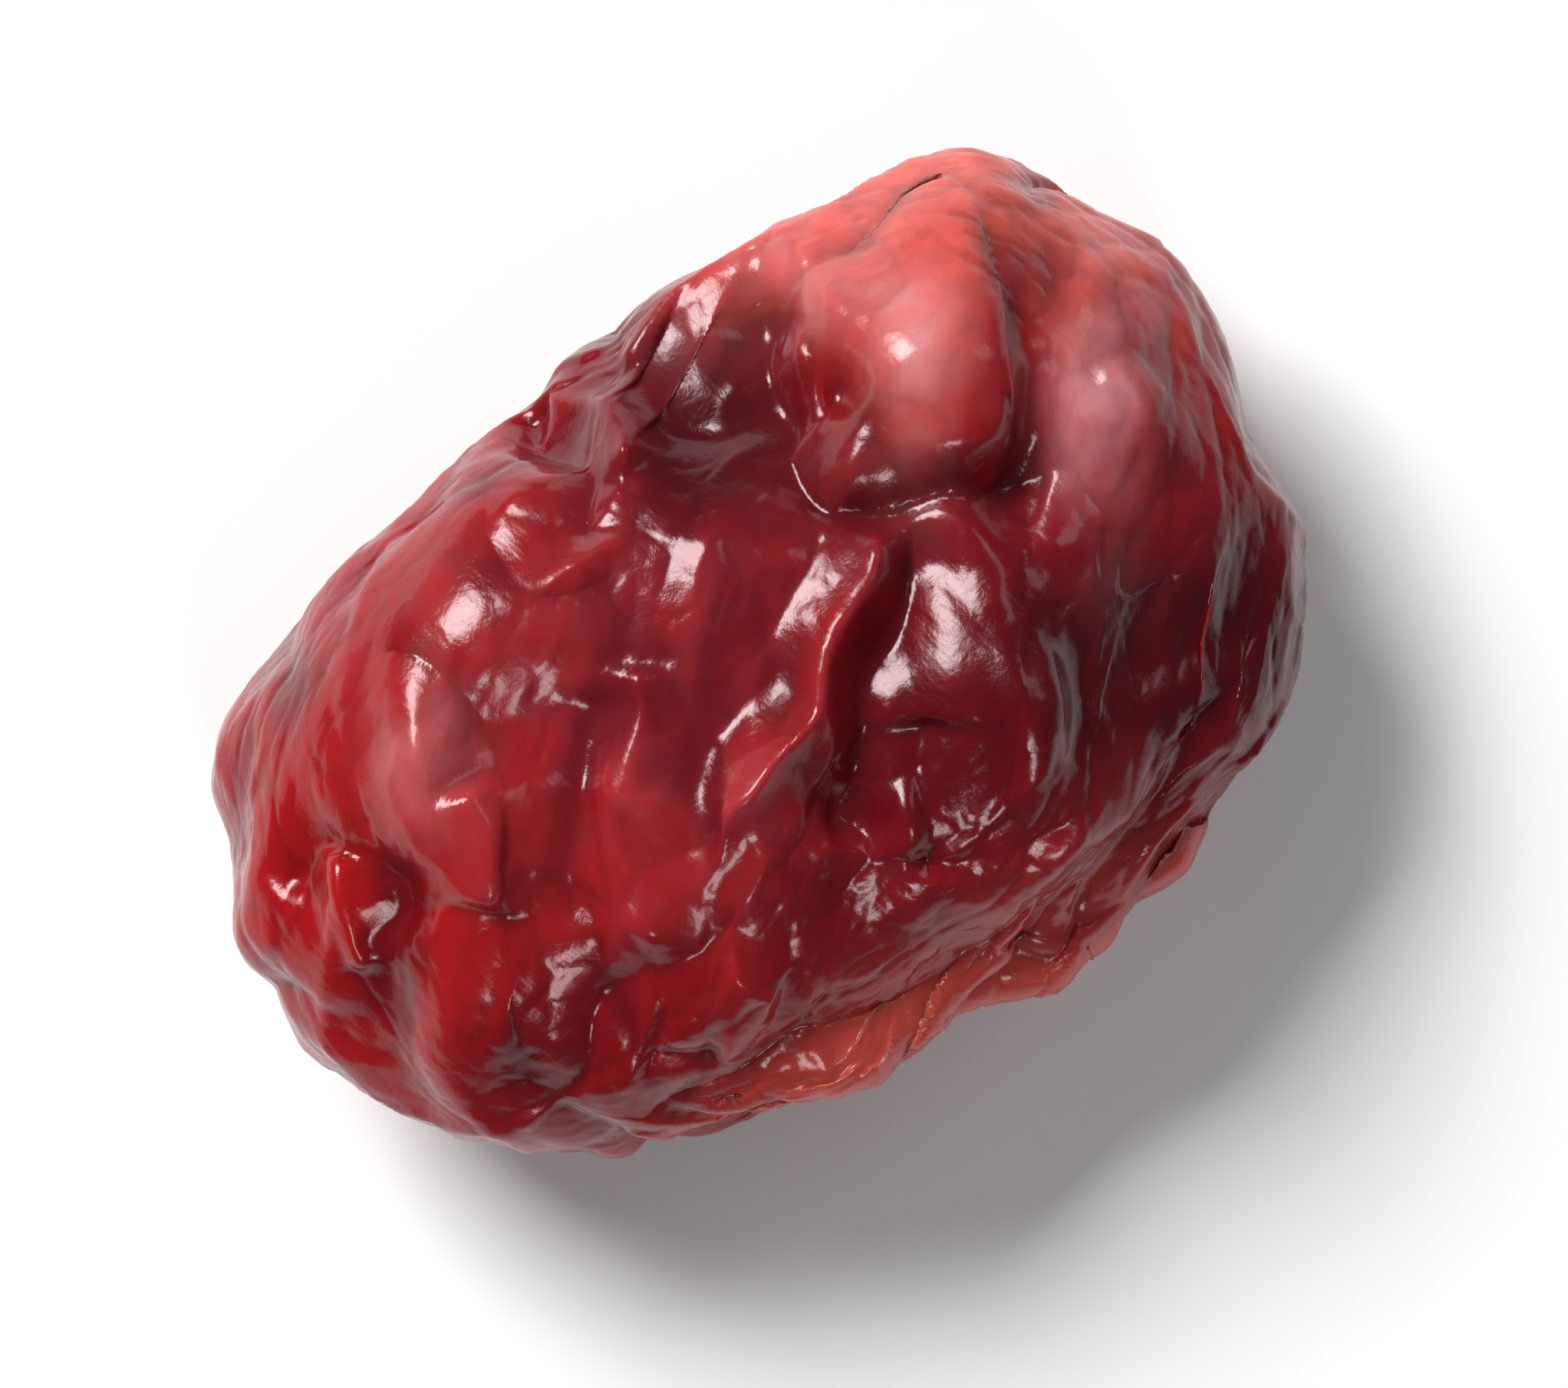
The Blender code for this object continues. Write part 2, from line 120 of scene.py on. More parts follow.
# Creases and ridges of the upper side: half width, rise and the path.
FOLDS = (
    # The transverse fold that bounds the tip lobe, and the lobe's rolled edge
    (0.55, -0.55, ((3.5, 3.3), (3.05, 2.6), (2.5, 2.05), (2.2, 1.45), (2.2, 0.8), (2.45, 0.2),
                   (3.0, -0.45), (3.7, -1.05), (4.5, -1.6))),
    (0.4, 0.12, ((3.45, 2.5), (3.05, 1.95), (2.8, 1.4), (2.85, 0.85), (3.1, 0.4),
                 (3.5, -0.1), (4.2, -0.7))),
    # The lengthwise ridge, with a crease along each side
    (0.33, 0.33, ((2.3, 0.42), (1.59, -0.05), (0.94, -0.5), (0.22, -0.98), (-0.66, -1.05),
                  (-1.4, -1.15), (-2.6, -1.4))),
    (0.45, -0.46, ((2.5, -0.05), (1.3, -0.95), (0.45, -1.55), (-0.38, -1.8), (-1.2, -2.0))),
    (0.55, -0.2, ((1.9, 1.0), (1.2, 0.6), (0.55, 0.15), (-0.1, -0.25), (-0.95, -0.3),
                  (-1.9, -0.5))),
    # From the notch in the edge down to the hollow
    (0.4, -0.36, ((0.45, 4.5), (0.4, 3.5), (-0.1, 2.85), (-0.5, 2.3))),
    (0.3, 0.26, ((0.95, 4.3), (1.0, 3.52), (0.55, 2.75))),
    # Folds of the -X end
    (0.4, -0.26, ((-6.2, 2.5), (-5.0, 2.2), (-4.6, 1.4), (-5.2, 0.4))),
    (0.35, 0.20, ((-4.9, 2.1), (-5.93, 1.1))),
    (0.4, 0.26, ((-3.2, 1.4), (-4.4, 0.3))),
    (0.4, 0.18, ((-0.8, 1.2), (-2.4, -0.2))),
    (0.35, -0.20, ((-1.4, 1.3), (-2.9, 0.1), (-3.9, -0.5))),
    (0.35, -0.22, ((-5.8, -1.8), (-4.3, -1.5), (-3.0, -1.75), (-1.9, -1.9))),
    (0.3, 0.20, ((-2.9, -2.0), (-2.5, -3.1))),
    (0.35, -0.22, ((-4.2, -2.0), (-3.5, -2.9))),
    (0.35, -0.26, ((0.9, -1.9), (0.2, -2.5), (-0.4, -3.3))),
    # The crease inside the lip
    (0.45, -0.30, ((3.9, -4.6), (2.2, -4.7), (0.65, -4.72), (-0.91, -4.3), (-2.98, -3.55),
                   (-4.8, -2.8), (-6.0, -1.9))),
)
FOLD_SHARPNESS = 1.25      # 1 is a sharp bottom, 2 a round one
FOLD_DRIFT = 0.42          # how far lobes and folds stray from their paths
FOLD_DRIFT_SIZE = 1.3      # over about this length

# Wrinkles over the whole skin: swells with creases between them, and sunken
# bowls, coarse and small, with ridges between them.
SWELL_SIZE = 2.3
SWELL_DEPTH = 0.24
SWELL_GAIN = 2.2           # brings most crests up to 1, where they flatten
SWELL_DRIFT = 0.9
SWELL_DRIFT_RATE = 0.6
CALM_TOP = 0.55            # share of the swells lost on the upper side
BOWL_SIZE = 2.0
BOWL_DEPTH = 0.36
SMALL_BOWL_SIZE = 0.95
SMALL_BOWL_DEPTH = 0.07
BOWL_RIM = 1.2             # ridges between bowls flatten above this
BOWL_CURVE = 1.6           # 1 makes bowls conical, 2 round
BOWL_MEAN = 0.45           # about the mean height, which the skin keeps
BOWL_DRIFT = 0.7
BOWL_DRIFT_RATE = 0.8
BOWL_SHIFT = Vector((3.1, 8.2, 5.7))
SMALL_BOWL_SHIFT = Vector((9.1, 0.2, 2.7))
DRIFT_SHIFTS = (Vector((7.3, 1.9, 4.4)), Vector((2.6, 9.1, 0.7)), Vector((5.2, 3.8, 8.5)))
WRINKLE_TURN = 38.0        # degrees round from +X along which the wrinkles run
WRINKLE_STRETCH = 0.55     # below 1 they run longer that way than across it

# How far up the skin has to face for the relief of the upper side to set in, and
# for its swells to calm down: the height of its normal, from none to all of it.
UPPER_SPAN = (-0.1, 0.45)
CALM_SPAN = (0.3, 0.85)

# Where the skin is stretched smooth: middle, half length, half width, degrees
SMOOTH_SPOTS = (
    ((1.8, 2.8), 2.1, 1.4, -72),        # the deep hollow
    ((1.75, -1.45), 1.2, 0.8, 10),      # the flank of the three-cornered swell
    ((-2.0, 3.1), 2.0, 0.95, 12),       # the long swell
    ((4.0, 0.9), 1.4, 0.6, 42),         # the tip lobe's brightest swell
)
SMOOTH_SHARE = 0.85        # share of both bowls and of the fine skin lost there

# Only in this script: the fine skin, with two nets of creases
NET_SIZE = 0.95
NET_DEPTH = 0.024
NET_SHIFT = Vector((1.7, 4.2, 9.4))
SMALL_NET_SIZE = 0.42
SMALL_NET_DEPTH = 0.012
SMALL_NET_SHIFT = Vector((6.1, 2.3, 0.8))
NET_DRIFT = 0.55
NET_DRIFT_RATE = 0.7
NET_WIDTH = 0.11           # of each crease, as a share of the net's size
PATCH_SIZE = 1.9           # patches where one net or the other is deeper
PATCH_SHIFT = Vector((3.3, 0.4, 6.2))
GRAIN_SIZE = 0.17
GRAIN_DEPTH = 0.007
GRAIN_SHIFT = Vector((0.2, 5.1, 7.7))
TORN_SIZE = 0.5            # the torn flesh inside the mouth
TORN_DEPTH = 0.10
TORN_GRAIN = 0.03
TORN_SHIFT = Vector((8.8, 1.4, 2.6))
FLESH_SPAN = (0.35, 0.75)  # how far into the mouth skin gives way to flesh
RIM_SPAN = (0.35, 0.95)    # how near a lip's crest the rim's lighter colour, a painted glow, sets in

# What makes a crest: a level, and shares of the coarse and small bowls' ridges
# and of the swells. Above the first span the skin counts as a crest, below the
# second as a valley, which the folds and both nets of creases deepen. The
# valleys are painted darker, as painted shade in the creases.
CREST_LEVEL = 0.34
CREST_SHARES = (0.45, 0.3, 0.25)
CREST_SPAN = (0.35, 0.75)
VALLEY_SPAN = (0.42, 0.12)
VALLEY_SHARES = (1.3, 0.25, 0.15)

# Skin colours, from the maroon of the mottle and of the painted shade in the folds to the
# pale tip, with the colours of painted sheen, highlight and glow, and the mouth's flesh
MAROON = (0.045, 0.0008, 0.003)
CRIMSON = (0.28, 0.006, 0.009)
BRIGHT_RED = (0.32, 0.003, 0.004)
# mauve of the dust and painted sheen
MAUVE_DUST_AND_SHEEN = (0.38, 0.060, 0.078)
# pale tip: paler skin, partly painted light
PALE_AND_LIT_TIP = (0.71, 0.118, 0.092)
# pale pink of the painted highlights
HIGHLIGHT_PINK = (0.66, 0.28, 0.29)
# lighter red of the painted glow along the lips
RIM_GLOW_RED = (0.58, 0.085, 0.065)
FLESH = (0.50, 0.12, 0.11)
FLESH_DARK = (0.26, 0.02, 0.025)

# Where each of those colours lies: weight, then middle, half length, half width
# and degrees round from +X. Weights below 0 take the colour away.
# The pale tip: paler skin, and partly painted light where light shines through it and its
# sheen catches the light
PALE_AND_LIT_REGION = (
    (1.0, (6.2, 1.7), 2.6, 2.2, 20),        # the tip
    (0.5, (4.2, 3.3), 1.6, 0.8, -25),
    (-0.85, (4.6, 0.15), 1.6, 0.5, 42),     # but not the valley between its swells
    (-0.3, (3.1, 1.75), 0.6, 0.4, 42),      # or its pit
)
# Painted highlights: pale pink patches where light catches the tip's swells, the edge beside
# the deep hollow and the long swell's turn
PAINTED_HIGHLIGHT_REGION = (
    (0.7, (4.2, 2.9), 1.3, 0.9, 0),         # beside the deep hollow
    (0.8, (5.2, -0.75), 1.6, 0.6, 42),      # the tip's swells
    (0.95, (3.85, 0.95), 1.2, 0.5, 42),
    (0.4, (-3.1, 2.5), 1.5, 0.5, 42),       # where the long swell turns down
)
# Painted glow: brighter red where light shines through the thin flesh, at the pit, the -X end
# and the lower side
PAINTED_GLOW_REGION = (
    (0.9, (3.1, 1.75), 0.7, 0.5, 42),       # the pit
    (1.0, (-5.6, 1.6), 2.6, 3.2, 0),        # the -X end
    (0.7, (-3.4, -3.0), 2.6, 1.3, -20),
)
# Painted shade: darker maroon in the sunken shoulder, the deep hollow and other dips and
# sides turned away from the light
PAINTED_SHADE_REGION = (
    (1.2, (3.4, -3.4), 3.1, 1.7, -38),      # the sunken shoulder
    (0.85, (1.65, 2.9), 1.9, 1.2, -70),     # the deep hollow
    (0.5, (1.0, 1.95), 1.0, 0.7, -70),
    (0.45, (-4.9, -1.4), 1.0, 0.8, 0),
    (0.4, (-1.2, -2.6), 2.4, 0.9, -10),
    (0.5, (2.3, 1.2), 0.9, 2.0, 0),
    (-0.7, (3.0, 1.8), 0.9, 0.6, 42),       # but not the pit
)
# Dust and painted sheen: a mauve haze on the crests and the middle of the upper side, partly
# dusty skin and partly painted sheen of broad, soft highlights
DUST_AND_SHEEN_REGION = (
    (0.9, (-1.0, 1.0), 3.0, 2.2, 20),       # the middle of the upper side
)
# Painted light: a lighter red band where the skin rolls over the thin upper lip, painted over
# its shade
LIT_LIP_BAND = (
    (0.85, (-1.8, -4.2), 3.3, 0.65, -17),   # the skin that rolls over the upper lip
)
DUST_AND_SHEEN_ELSEWHERE = 0.2       # how much of the dust and painted sheen the rest of the skin keeps
PALE_AND_LIT_RISE = (0.4, 2.6)     # heights between which the pale tip sets in, so that it is paler higher up, partly as painted light

# How many spots a millimetre each pattern of the skin has
BLOTCH_RATE = 0.55
MOTTLE_RATE = 2.2
FLESH_RATE = 3.0
GLOSS_RATE = 1.4
PORE_RATE = 9.0
HAIR_RATE = 1.6
HAIR_STRETCH = (3.2, 0.5, 0.9)     # times as many of the hair-fine creases each way

# How strongly each colour covers the ones before it. A pair is a change and a
# level: the cover is the level, and changes by so much where the skin is mottled.
BRIGHT_COVER = 0.35
MOTTLE_COVER = 0.25
DUST_AND_SHEEN_COVER = (0.6, 0.5)
DUST_AND_SHEEN_ON_CRESTS = (0.5, 0.3)     # the same, changing towards the crests, where the painted sheen lies
# share of the painted glow
PAINTED_GLOW_COVER = 0.75
# share of the painted shade
PAINTED_SHADE_COVER = 0.85
PALE_AND_LIT_COVER = (-0.4, 0.95)
# how strongly the painted shade darkens the creases
CREASE_SHADE_COVER = 0.6
# share of the painted glow along the lips
RIM_GLOW_COVER = 0.75

# Gloss and bump of the skin. What is the same all over is set on the shader.
SKIN_FINISH = {
    "IOR": 1.38,
    "Specular IOR Level": 0.45,
    "Specular Tint": (1.0, 0.80, 0.82, 1.0),
    "Subsurface Weight": 0.5,
    "Subsurface Radius": (1.0, 0.12, 0.08),
    "Subsurface Scale": 1.2 * METRES_PER_MM,
    "Coat Weight": 0.15,
    "Coat Roughness": 0.08,
    "Sheen Weight": 0.03,
    "Sheen Roughness": 0.4,
    "Sheen Tint": (0.85, 0.62, 0.78, 1.0),
}
ROUGHNESS = 0.14
ROUGHER_SPECKLE = 0.10     # how much rougher it is in dull spots
ROUGHER_CREST = 0.05
ROUGHER_FLESH = 0.3
BUMP_STRENGTH = 0.5
BUMP_DISTANCE_MM = 0.04
HAIR_SHARE = 0.18          # share of that distance for the hair-fine creases
PORE_SHARE = 0.15

# Studio lights: how far to the picture's right, towards its top and above the
# floor each one hangs, its size, and its power in watts
LIGHTS = (
    ("key", (-145, 150, 212), 125, 1.25),
    ("fill", (170, 130, 200), 90, 0.055),
    ("low fill", (60, -200, 200), 60, 0.17),
)
SKY_COLOUR = (0.92, 0.94, 1.0, 1.0)
SKY_STRENGTH = 0.13

FLOOR_SIZE_MM = 600
FLOOR_COLOUR = (0.86, 0.86, 0.86, 1.0)
FLOOR_ROUGHNESS = 0.7

FRAME_HEIGHT_MM = 16.8     # of what the camera sees, at the berry's widest height
LENS_MM = 200.0            # a long lens, so that the view is nearly parallel
SENSOR_MM = 36.0
CAMERA_SEES = (0.01, 10.0)     # from and to, in metres


def smoothstep(low, high, value):
    """Rise smoothly from 0 at low to 1 at high."""
    t = np.clip((value - low) / (high - low), 0.0, 1.0)
    return t * t * (3.0 - 2.0 * t)


def outline_radius(angle):
    """Distance of the outline from the middle, by a curve through its points."""
    degrees = np.degrees(angle) % 360.0
    at = np.array([a for a, _ in OUTLINE], float)
    radius = np.array([r for _, r in OUTLINE])
    at = np.concatenate((at[-2:] - 360.0, at, at[:2] + 360.0))
    radius = np.concatenate((radius[-2:], radius, radius[:2]))
    i = np.searchsorted(at, degrees, side="right") - 1
    span = at[i + 1] - at[i]
    t = (degrees - at[i]) / span
    slope1 = (radius[i + 1] - radius[i - 1]) / (at[i + 1] - at[i - 1]) * span
    slope2 = (radius[i + 2] - radius[i]) / (at[i + 2] - at[i]) * span
    t2 = t * t
    t3 = t2 * t
    return ((2 * t3 - 3 * t2 + 1) * radius[i] + (t3 - 2 * t2 + t) * slope1
            + (3 * t2 - 2 * t3) * radius[i + 1] + (t3 - t2) * slope2)


def make_ball(cells):
    """A ball of even faces, as a mesh: a cube cut into cells and blown up round."""
    bm = bmesh.new()
    bmesh.ops.create_cube(bm, size=2.0)
    bmesh.ops.subdivide_edges(bm, edges=bm.edges[:], cuts=cells - 1, use_grid_fill=True)
    mesh = bpy.data.meshes.new(NAME)
    bm.to_mesh(mesh)
    bm.free()
    even = np.tan(points_of(mesh) * math.pi / 4.0)
    even /= np.linalg.norm(even, axis=1, keepdims=True)
    even += FINER_SIDE
    place(mesh, even / np.linalg.norm(even, axis=1, keepdims=True))
    return mesh


def points_of(mesh):
    """Every point of the mesh, one a row."""
    values = np.empty(len(mesh.vertices) * 3)
    mesh.vertices.foreach_get("co", values)
    return values.reshape(-1, 3)


def normals_of(mesh):
    """Every point's normal, one a row."""
    values = np.empty(len(mesh.vertices) * 3, dtype=np.float32)
    mesh.vertex_normals.foreach_get("vector", values)
    return values.reshape(-1, 3).astype(float)


def place(mesh, points):
    """Move the mesh's points."""
    mesh.vertices.foreach_set("co", points.ravel())
    mesh.update()


def push(mesh, height):
    """Push every point along its normal."""
    place(mesh, points_of(mesh) + normals_of(mesh) * height[:, None])


def body_points(direction):
    """Where directions from the middle meet the smooth, unwrinkled berry."""
    across = np.hypot(direction[:, 0], direction[:, 1])
    upper = direction[:, 2] > 0.0
    roundness = np.where(upper, ROUNDNESS, BELLY_ROUNDNESS)
    edge = outline_radius(np.arctan2(direction[:, 1], direction[:, 0])) - RELIEF_ALLOWANCE
    reach = edge * across ** roundness / np.maximum(across, 1e-9)
    plan = direction[:, :2] * reach[:, None]
    steep = np.abs(direction[:, 2]) ** roundness
    crown = CROWN_RISE - TIP_DROOP * smoothstep(*TIP_DROOP_SPAN, plan[:, 0])
    z = WIDEST_Z + np.where(upper, crown, -BELLY_DROP) * steep
    return np.column_stack((plan, z))


def along_path(path, plan):
    """Distance from spots to a path, and how far along the path each is."""
    best = np.full(len(plan), np.inf)
    where = np.zeros(len(plan))
    for i in range(len(path) - 1):
        start = np.array(path[i])
        run = np.array(path[i + 1]) - start
        t = np.clip((plan - start) @ run / (run @ run), 0.0, 1.0)
        gap = np.linalg.norm(plan - start - t[:, None] * run, axis=1)
        nearer = gap < best
        best = np.where(nearer, gap, best)
        where = np.where(nearer, (i + t) / (len(path) - 1), where)
    return best, where


def blob(plan, middle, half_length, half_width, degrees):
    """1 at the middle of an oval, fading to 0 round it."""
    turn = math.radians(degrees)
    offset = plan - np.array(middle)
    along = offset[:, 0] * math.cos(turn) + offset[:, 1] * math.sin(turn)
    aside = offset[:, 1] * math.cos(turn) - offset[:, 0] * math.sin(turn)
    return np.exp(-(along / half_length) ** 2 - (aside / half_width) ** 2)


def lobe_height(plan):
    """Broad swells and hollows of the upper side."""
    height = np.zeros(len(plan))
    for middle, half_length, half_width, degrees, rise in LOBES:
        height += rise * blob(plan, middle, half_length, half_width, degrees)
    return height


def fold_height(plan):
    """Creases and ridges of the upper side, fading at their ends."""
    height = np.zeros(len(plan))
    for half_width, rise, path in FOLDS:
        gap, t = along_path(path, plan)
        fade = smoothstep(0.0, 0.12, t) * smoothstep(0.0, 0.2, 1.0 - t)
        height += rise * fade * np.exp(-(gap / half_width) ** FOLD_SHARPNESS)
    return height


def drift(spot, rate):
    """A slow, smooth wandering of a spot."""
    slow = spot * rate
    return Vector([noise.noise(slow + shift) for shift in DRIFT_SHIFTS])


def wrinkle_space(points, size):
    """Points turned and stretched so that wrinkles run one way."""
    turn = math.radians(WRINKLE_TURN)
    along = points[:, 0] * math.cos(turn) + points[:, 1] * math.sin(turn)
    aside = points[:, 1] * math.cos(turn) - points[:, 0] * math.sin(turn)
    spots = np.column_stack((along * WRINKLE_STRETCH, aside, points[:, 2])) / size
    return [Vector(spot) for spot in spots]


def swells(points):
    """Rounded swells, 1 at their crests, with a sharp crease between them."""
    values = []
    for spot in wrinkle_space(points, SWELL_SIZE):
        strayed = spot + drift(spot, SWELL_DRIFT_RATE) * SWELL_DRIFT
        values.append(SWELL_GAIN * abs(noise.noise(strayed)))
    return np.minimum(values, 1.0)


def bowls(points, size, shift):
    """Sunken bowls between ridges, about 0 on the whole."""
    values = []
    for spot in wrinkle_space(points, size):
        spot = spot + shift
        strayed = spot + drift(spot, BOWL_DRIFT_RATE) * BOWL_DRIFT
        values.append(noise.voronoi(strayed)[0][0])
    return np.minimum(values, BOWL_RIM) ** BOWL_CURVE - BOWL_MEAN


def cleft(points):
    """How far into the mouth (1 at its middle) and how near a lip's crest."""
    run = MOUTH_END - MOUTH_START
    t = (points - MOUTH_START) @ run / (run @ run)
    wave = MOUTH_WAVE * np.sin(MOUTH_WAVE_RUN * t + MOUTH_WAVE_START)
    up = np.abs(points[:, 2] - (MOUTH_START[2] + run[2] * t) - wave)
    gape = MOUTH_HALF_HEIGHT * (1.0 - MOUTH_NARROWING * smoothstep(0.3, 0.95, t))
    ends = smoothstep(-0.1, 0.25, t) * smoothstep(-0.1, 0.3, 1.0 - t)
    inside = np.exp(-(up / gape) ** MOUTH_EDGE) * ends * gape / MOUTH_HALF_HEIGHT
    ripple = np.array([noise.noise(Vector((x / PUCKER, 0.3 * u, 2.7)))
                       for x, u in zip(points[:, 0], up)])
    pucker = PUCKER_FLOOR + PUCKER_RISE * np.abs(ripple)
    lip = np.exp(-((up - gape - LIP_WIDTH) / LIP_HALF_HEIGHT) ** 2) * ends * pucker
    front = points[:, 1] < 0.0
    return inside * front, lip * front


def smoothness(points):
    """1 in the smooth spots of the upper side, fading to 0 round them."""
    spots = [blob(points[:, :2], *spot) for spot in SMOOTH_SPOTS]
    return np.max(spots, axis=0) * (points[:, 2] > WIDEST_Z)


def crease_net(points, size, shift):
    """A net of fine creases, 1 on its lines and 0 between them."""
    values = []
    for spot in wrinkle_space(points, size):
        spot = spot + shift
        strayed = spot + drift(spot, NET_DRIFT_RATE) * NET_DRIFT
        near, next_near = noise.voronoi(strayed)[0][:2]
        values.append(next_near - near)
    return np.exp(-np.array(values) / NET_WIDTH)


def grain(points, size, shift):
    """Soft noise, from about -1 to 1."""
    return np.array([noise.noise(Vector(spot) + shift) for spot in points / size])


def region(plan, ovals):
    """Where a colour lies, seen from above: the sum of its ovals."""
    return sum(weight * blob(plan, *oval) for weight, *oval in ovals)


def keep_mask(mesh, name, values):
    """Store one number a point for the material to read."""
    layer = mesh.attributes.new(name, "FLOAT", "POINT")
    layer.data.foreach_set("value", np.clip(values, 0.0, 1.0).astype(np.float32))


def wrinkle(mesh):
    """Raise the wrinkles over the whole skin. Returns how far up each crest a point is."""
    points = points_of(mesh)
    calm = 1.0 - CALM_TOP * smoothstep(*CALM_SPAN, normals_of(mesh)[:, 2])
    swell = swells(points)
    coarse = bowls(points, BOWL_SIZE, BOWL_SHIFT)
    small = bowls(points, SMALL_BOWL_SIZE, SMALL_BOWL_SHIFT)
    dimpled = 1.0 - SMOOTH_SHARE * smoothness(points)
    height = SWELL_DEPTH * calm * (swell - 0.5)
    height += dimpled * (BOWL_DEPTH * coarse + SMALL_BOWL_DEPTH * small)
    push(mesh, height)
    of_coarse, of_small, of_swell = CREST_SHARES
    return CREST_LEVEL + of_coarse * coarse + of_small * small + of_swell * swell


def fold(mesh):
    """Raise the lobes and folds of the upper side. Returns the folds' height."""
    points = points_of(mesh)
    stray = [drift(Vector(point), 1.0 / FOLD_DRIFT_SIZE)[:2] for point in points]
    plan = points[:, :2] + FOLD_DRIFT * np.array(stray)
    top = smoothstep(*UPPER_SPAN, normals_of(mesh)[:, 2])
    folds = top * fold_height(plan)
    push(mesh, top * lobe_height(plan) + folds)
    return folds


def open_mouth(mesh):
    """Swell the lips out and push the mouth in. Returns how far in and how near a lip."""
    lip = cleft(points_of(mesh))[1]
    push(mesh, LIP_RISE * lip)
    points = points_of(mesh)
    inside = cleft(points)[0]
    depth = MOUTH_DEPTH * inside
    points[:, 1] += depth
    points[:, 2] += MOUTH_CLIMB * depth
    place(mesh, points)
    return inside, lip


def fine_skin(mesh, flesh):
    """Press in the small creases, and tear the flesh inside the mouth."""
    points = points_of(mesh)
    net = crease_net(points, NET_SIZE, NET_SHIFT)
    small_net = crease_net(points, SMALL_NET_SIZE, SMALL_NET_SHIFT)
    patchy = 0.5 + 0.5 * grain(points, PATCH_SIZE, PATCH_SHIFT)
    fine_grain = grain(points, GRAIN_SIZE, GRAIN_SHIFT)
    skin = -NET_DEPTH * net * (0.5 + patchy) - SMALL_NET_DEPTH * small_net * (1.5 - patchy)
    skin += GRAIN_DEPTH * fine_grain
    skin *= 1.0 - SMOOTH_SHARE * smoothness(points)
    torn = TORN_DEPTH * grain(points, TORN_SIZE, TORN_SHIFT) + TORN_GRAIN * fine_grain
    push(mesh, skin * (1.0 - flesh) + torn * flesh)
    return net, small_net


def keep_regions(mesh, lip):
    """Masks of the berry's regions, most of them on its upper side: the pale tip, dust, and
    where light and shade are painted.
    """
    points = points_of(mesh)
    plan = points[:, :2]
    upper = points[:, 2] > WIDEST_Z
    # pale skin and painted light of the tip
    keep_mask(mesh, "pale_and_lit", region(plan, PALE_AND_LIT_REGION) * smoothstep(*PALE_AND_LIT_RISE, points[:, 2]))
    # painted highlights
    keep_mask(mesh, "painted_highlight", region(plan, PAINTED_HIGHLIGHT_REGION) * upper)
    # painted glow
    keep_mask(mesh, "painted_glow", region(plan, PAINTED_GLOW_REGION))
    # painted shade
    keep_mask(mesh, "painted_shade", region(plan, PAINTED_SHADE_REGION))
    # dust and painted sheen
    keep_mask(mesh, "dust_and_sheen", DUST_AND_SHEEN_ELSEWHERE + region(plan, DUST_AND_SHEEN_REGION) * upper)
    # painted glow along the lips
    keep_mask(mesh, "lit_rim", smoothstep(*RIM_SPAN, lip) + region(plan, LIT_LIP_BAND) * upper)


def make_berry():
    """The whole berry, with every crease that shows."""
    mesh = make_ball(CELLS)
    place(mesh, body_points(points_of(mesh)))
    crest = wrinkle(mesh)
    folds = fold(mesh)
    inside, lip = open_mouth(mesh)
    flesh = smoothstep(*FLESH_SPAN, inside)
    net, small_net = fine_skin(mesh, flesh)
    points = points_of(mesh)
    points[:, 2] = np.maximum(points[:, 2], 0.0)
    place(mesh, points)

    of_folds, of_net, of_small_net = VALLEY_SHARES
    # painted shade: darker in the valleys, the folds' creases and both nets of creases
    crease_shade = smoothstep(*VALLEY_SPAN, crest) - of_folds * folds
    keep_mask(mesh, "crest", smoothstep(*CREST_SPAN, crest + folds))
    keep_mask(mesh, "crease_shade", crease_shade + of_net * net + of_small_net * small_net)
    keep_mask(mesh, "flesh", flesh)
    keep_regions(mesh, lip)

    place(mesh, (points - BOX_MIDDLE) * METRES_PER_MM)
    mesh.shade_smooth()
    berry = bpy.data.objects.new("cranberry_skin", mesh)
    bpy.context.scene.collection.objects.link(berry)
    mesh.materials.append(skin_material())
    return berry


def mask(tree, name):
    """The value of a mask at the point being shaded."""
    node = tree.nodes.new("ShaderNodeAttribute")
    node.attribute_name = name
    return node.outputs["Fac"]


def put(tree, socket, value):
    """Link a socket to another node, or set its value."""
    if isinstance(value, bpy.types.NodeSocket):
        tree.links.new(value, socket)
    elif isinstance(value, tuple):
        socket.default_value = (*value, 1.0)
    else:
        socket.default_value = value


def mix(tree, amount, low, high):
    """Blend two colours by a mask."""
    node = tree.nodes.new("ShaderNodeMix")
    node.data_type = "RGBA"
    put(tree, node.inputs["Factor"], amount)
    put(tree, node.inputs["A"], low)
    put(tree, node.inputs["B"], high)
    return node.outputs["Result"]


def times(tree, a, b):
    """The product of two values."""
    node = tree.nodes.new("ShaderNodeMath")
    node.operation = "MULTIPLY"
    put(tree, node.inputs[0], a)
    put(tree, node.inputs[1], b)
    return node.outputs[0]


def times_plus(tree, a, b, c):
    """The product of two values, plus a third."""
    node = tree.nodes.new("ShaderNodeMath")
    node.operation = "MULTIPLY_ADD"
    for socket, value in zip(node.inputs, (a, b, c)):
        put(tree, socket, value)
    return node.outputs[0]


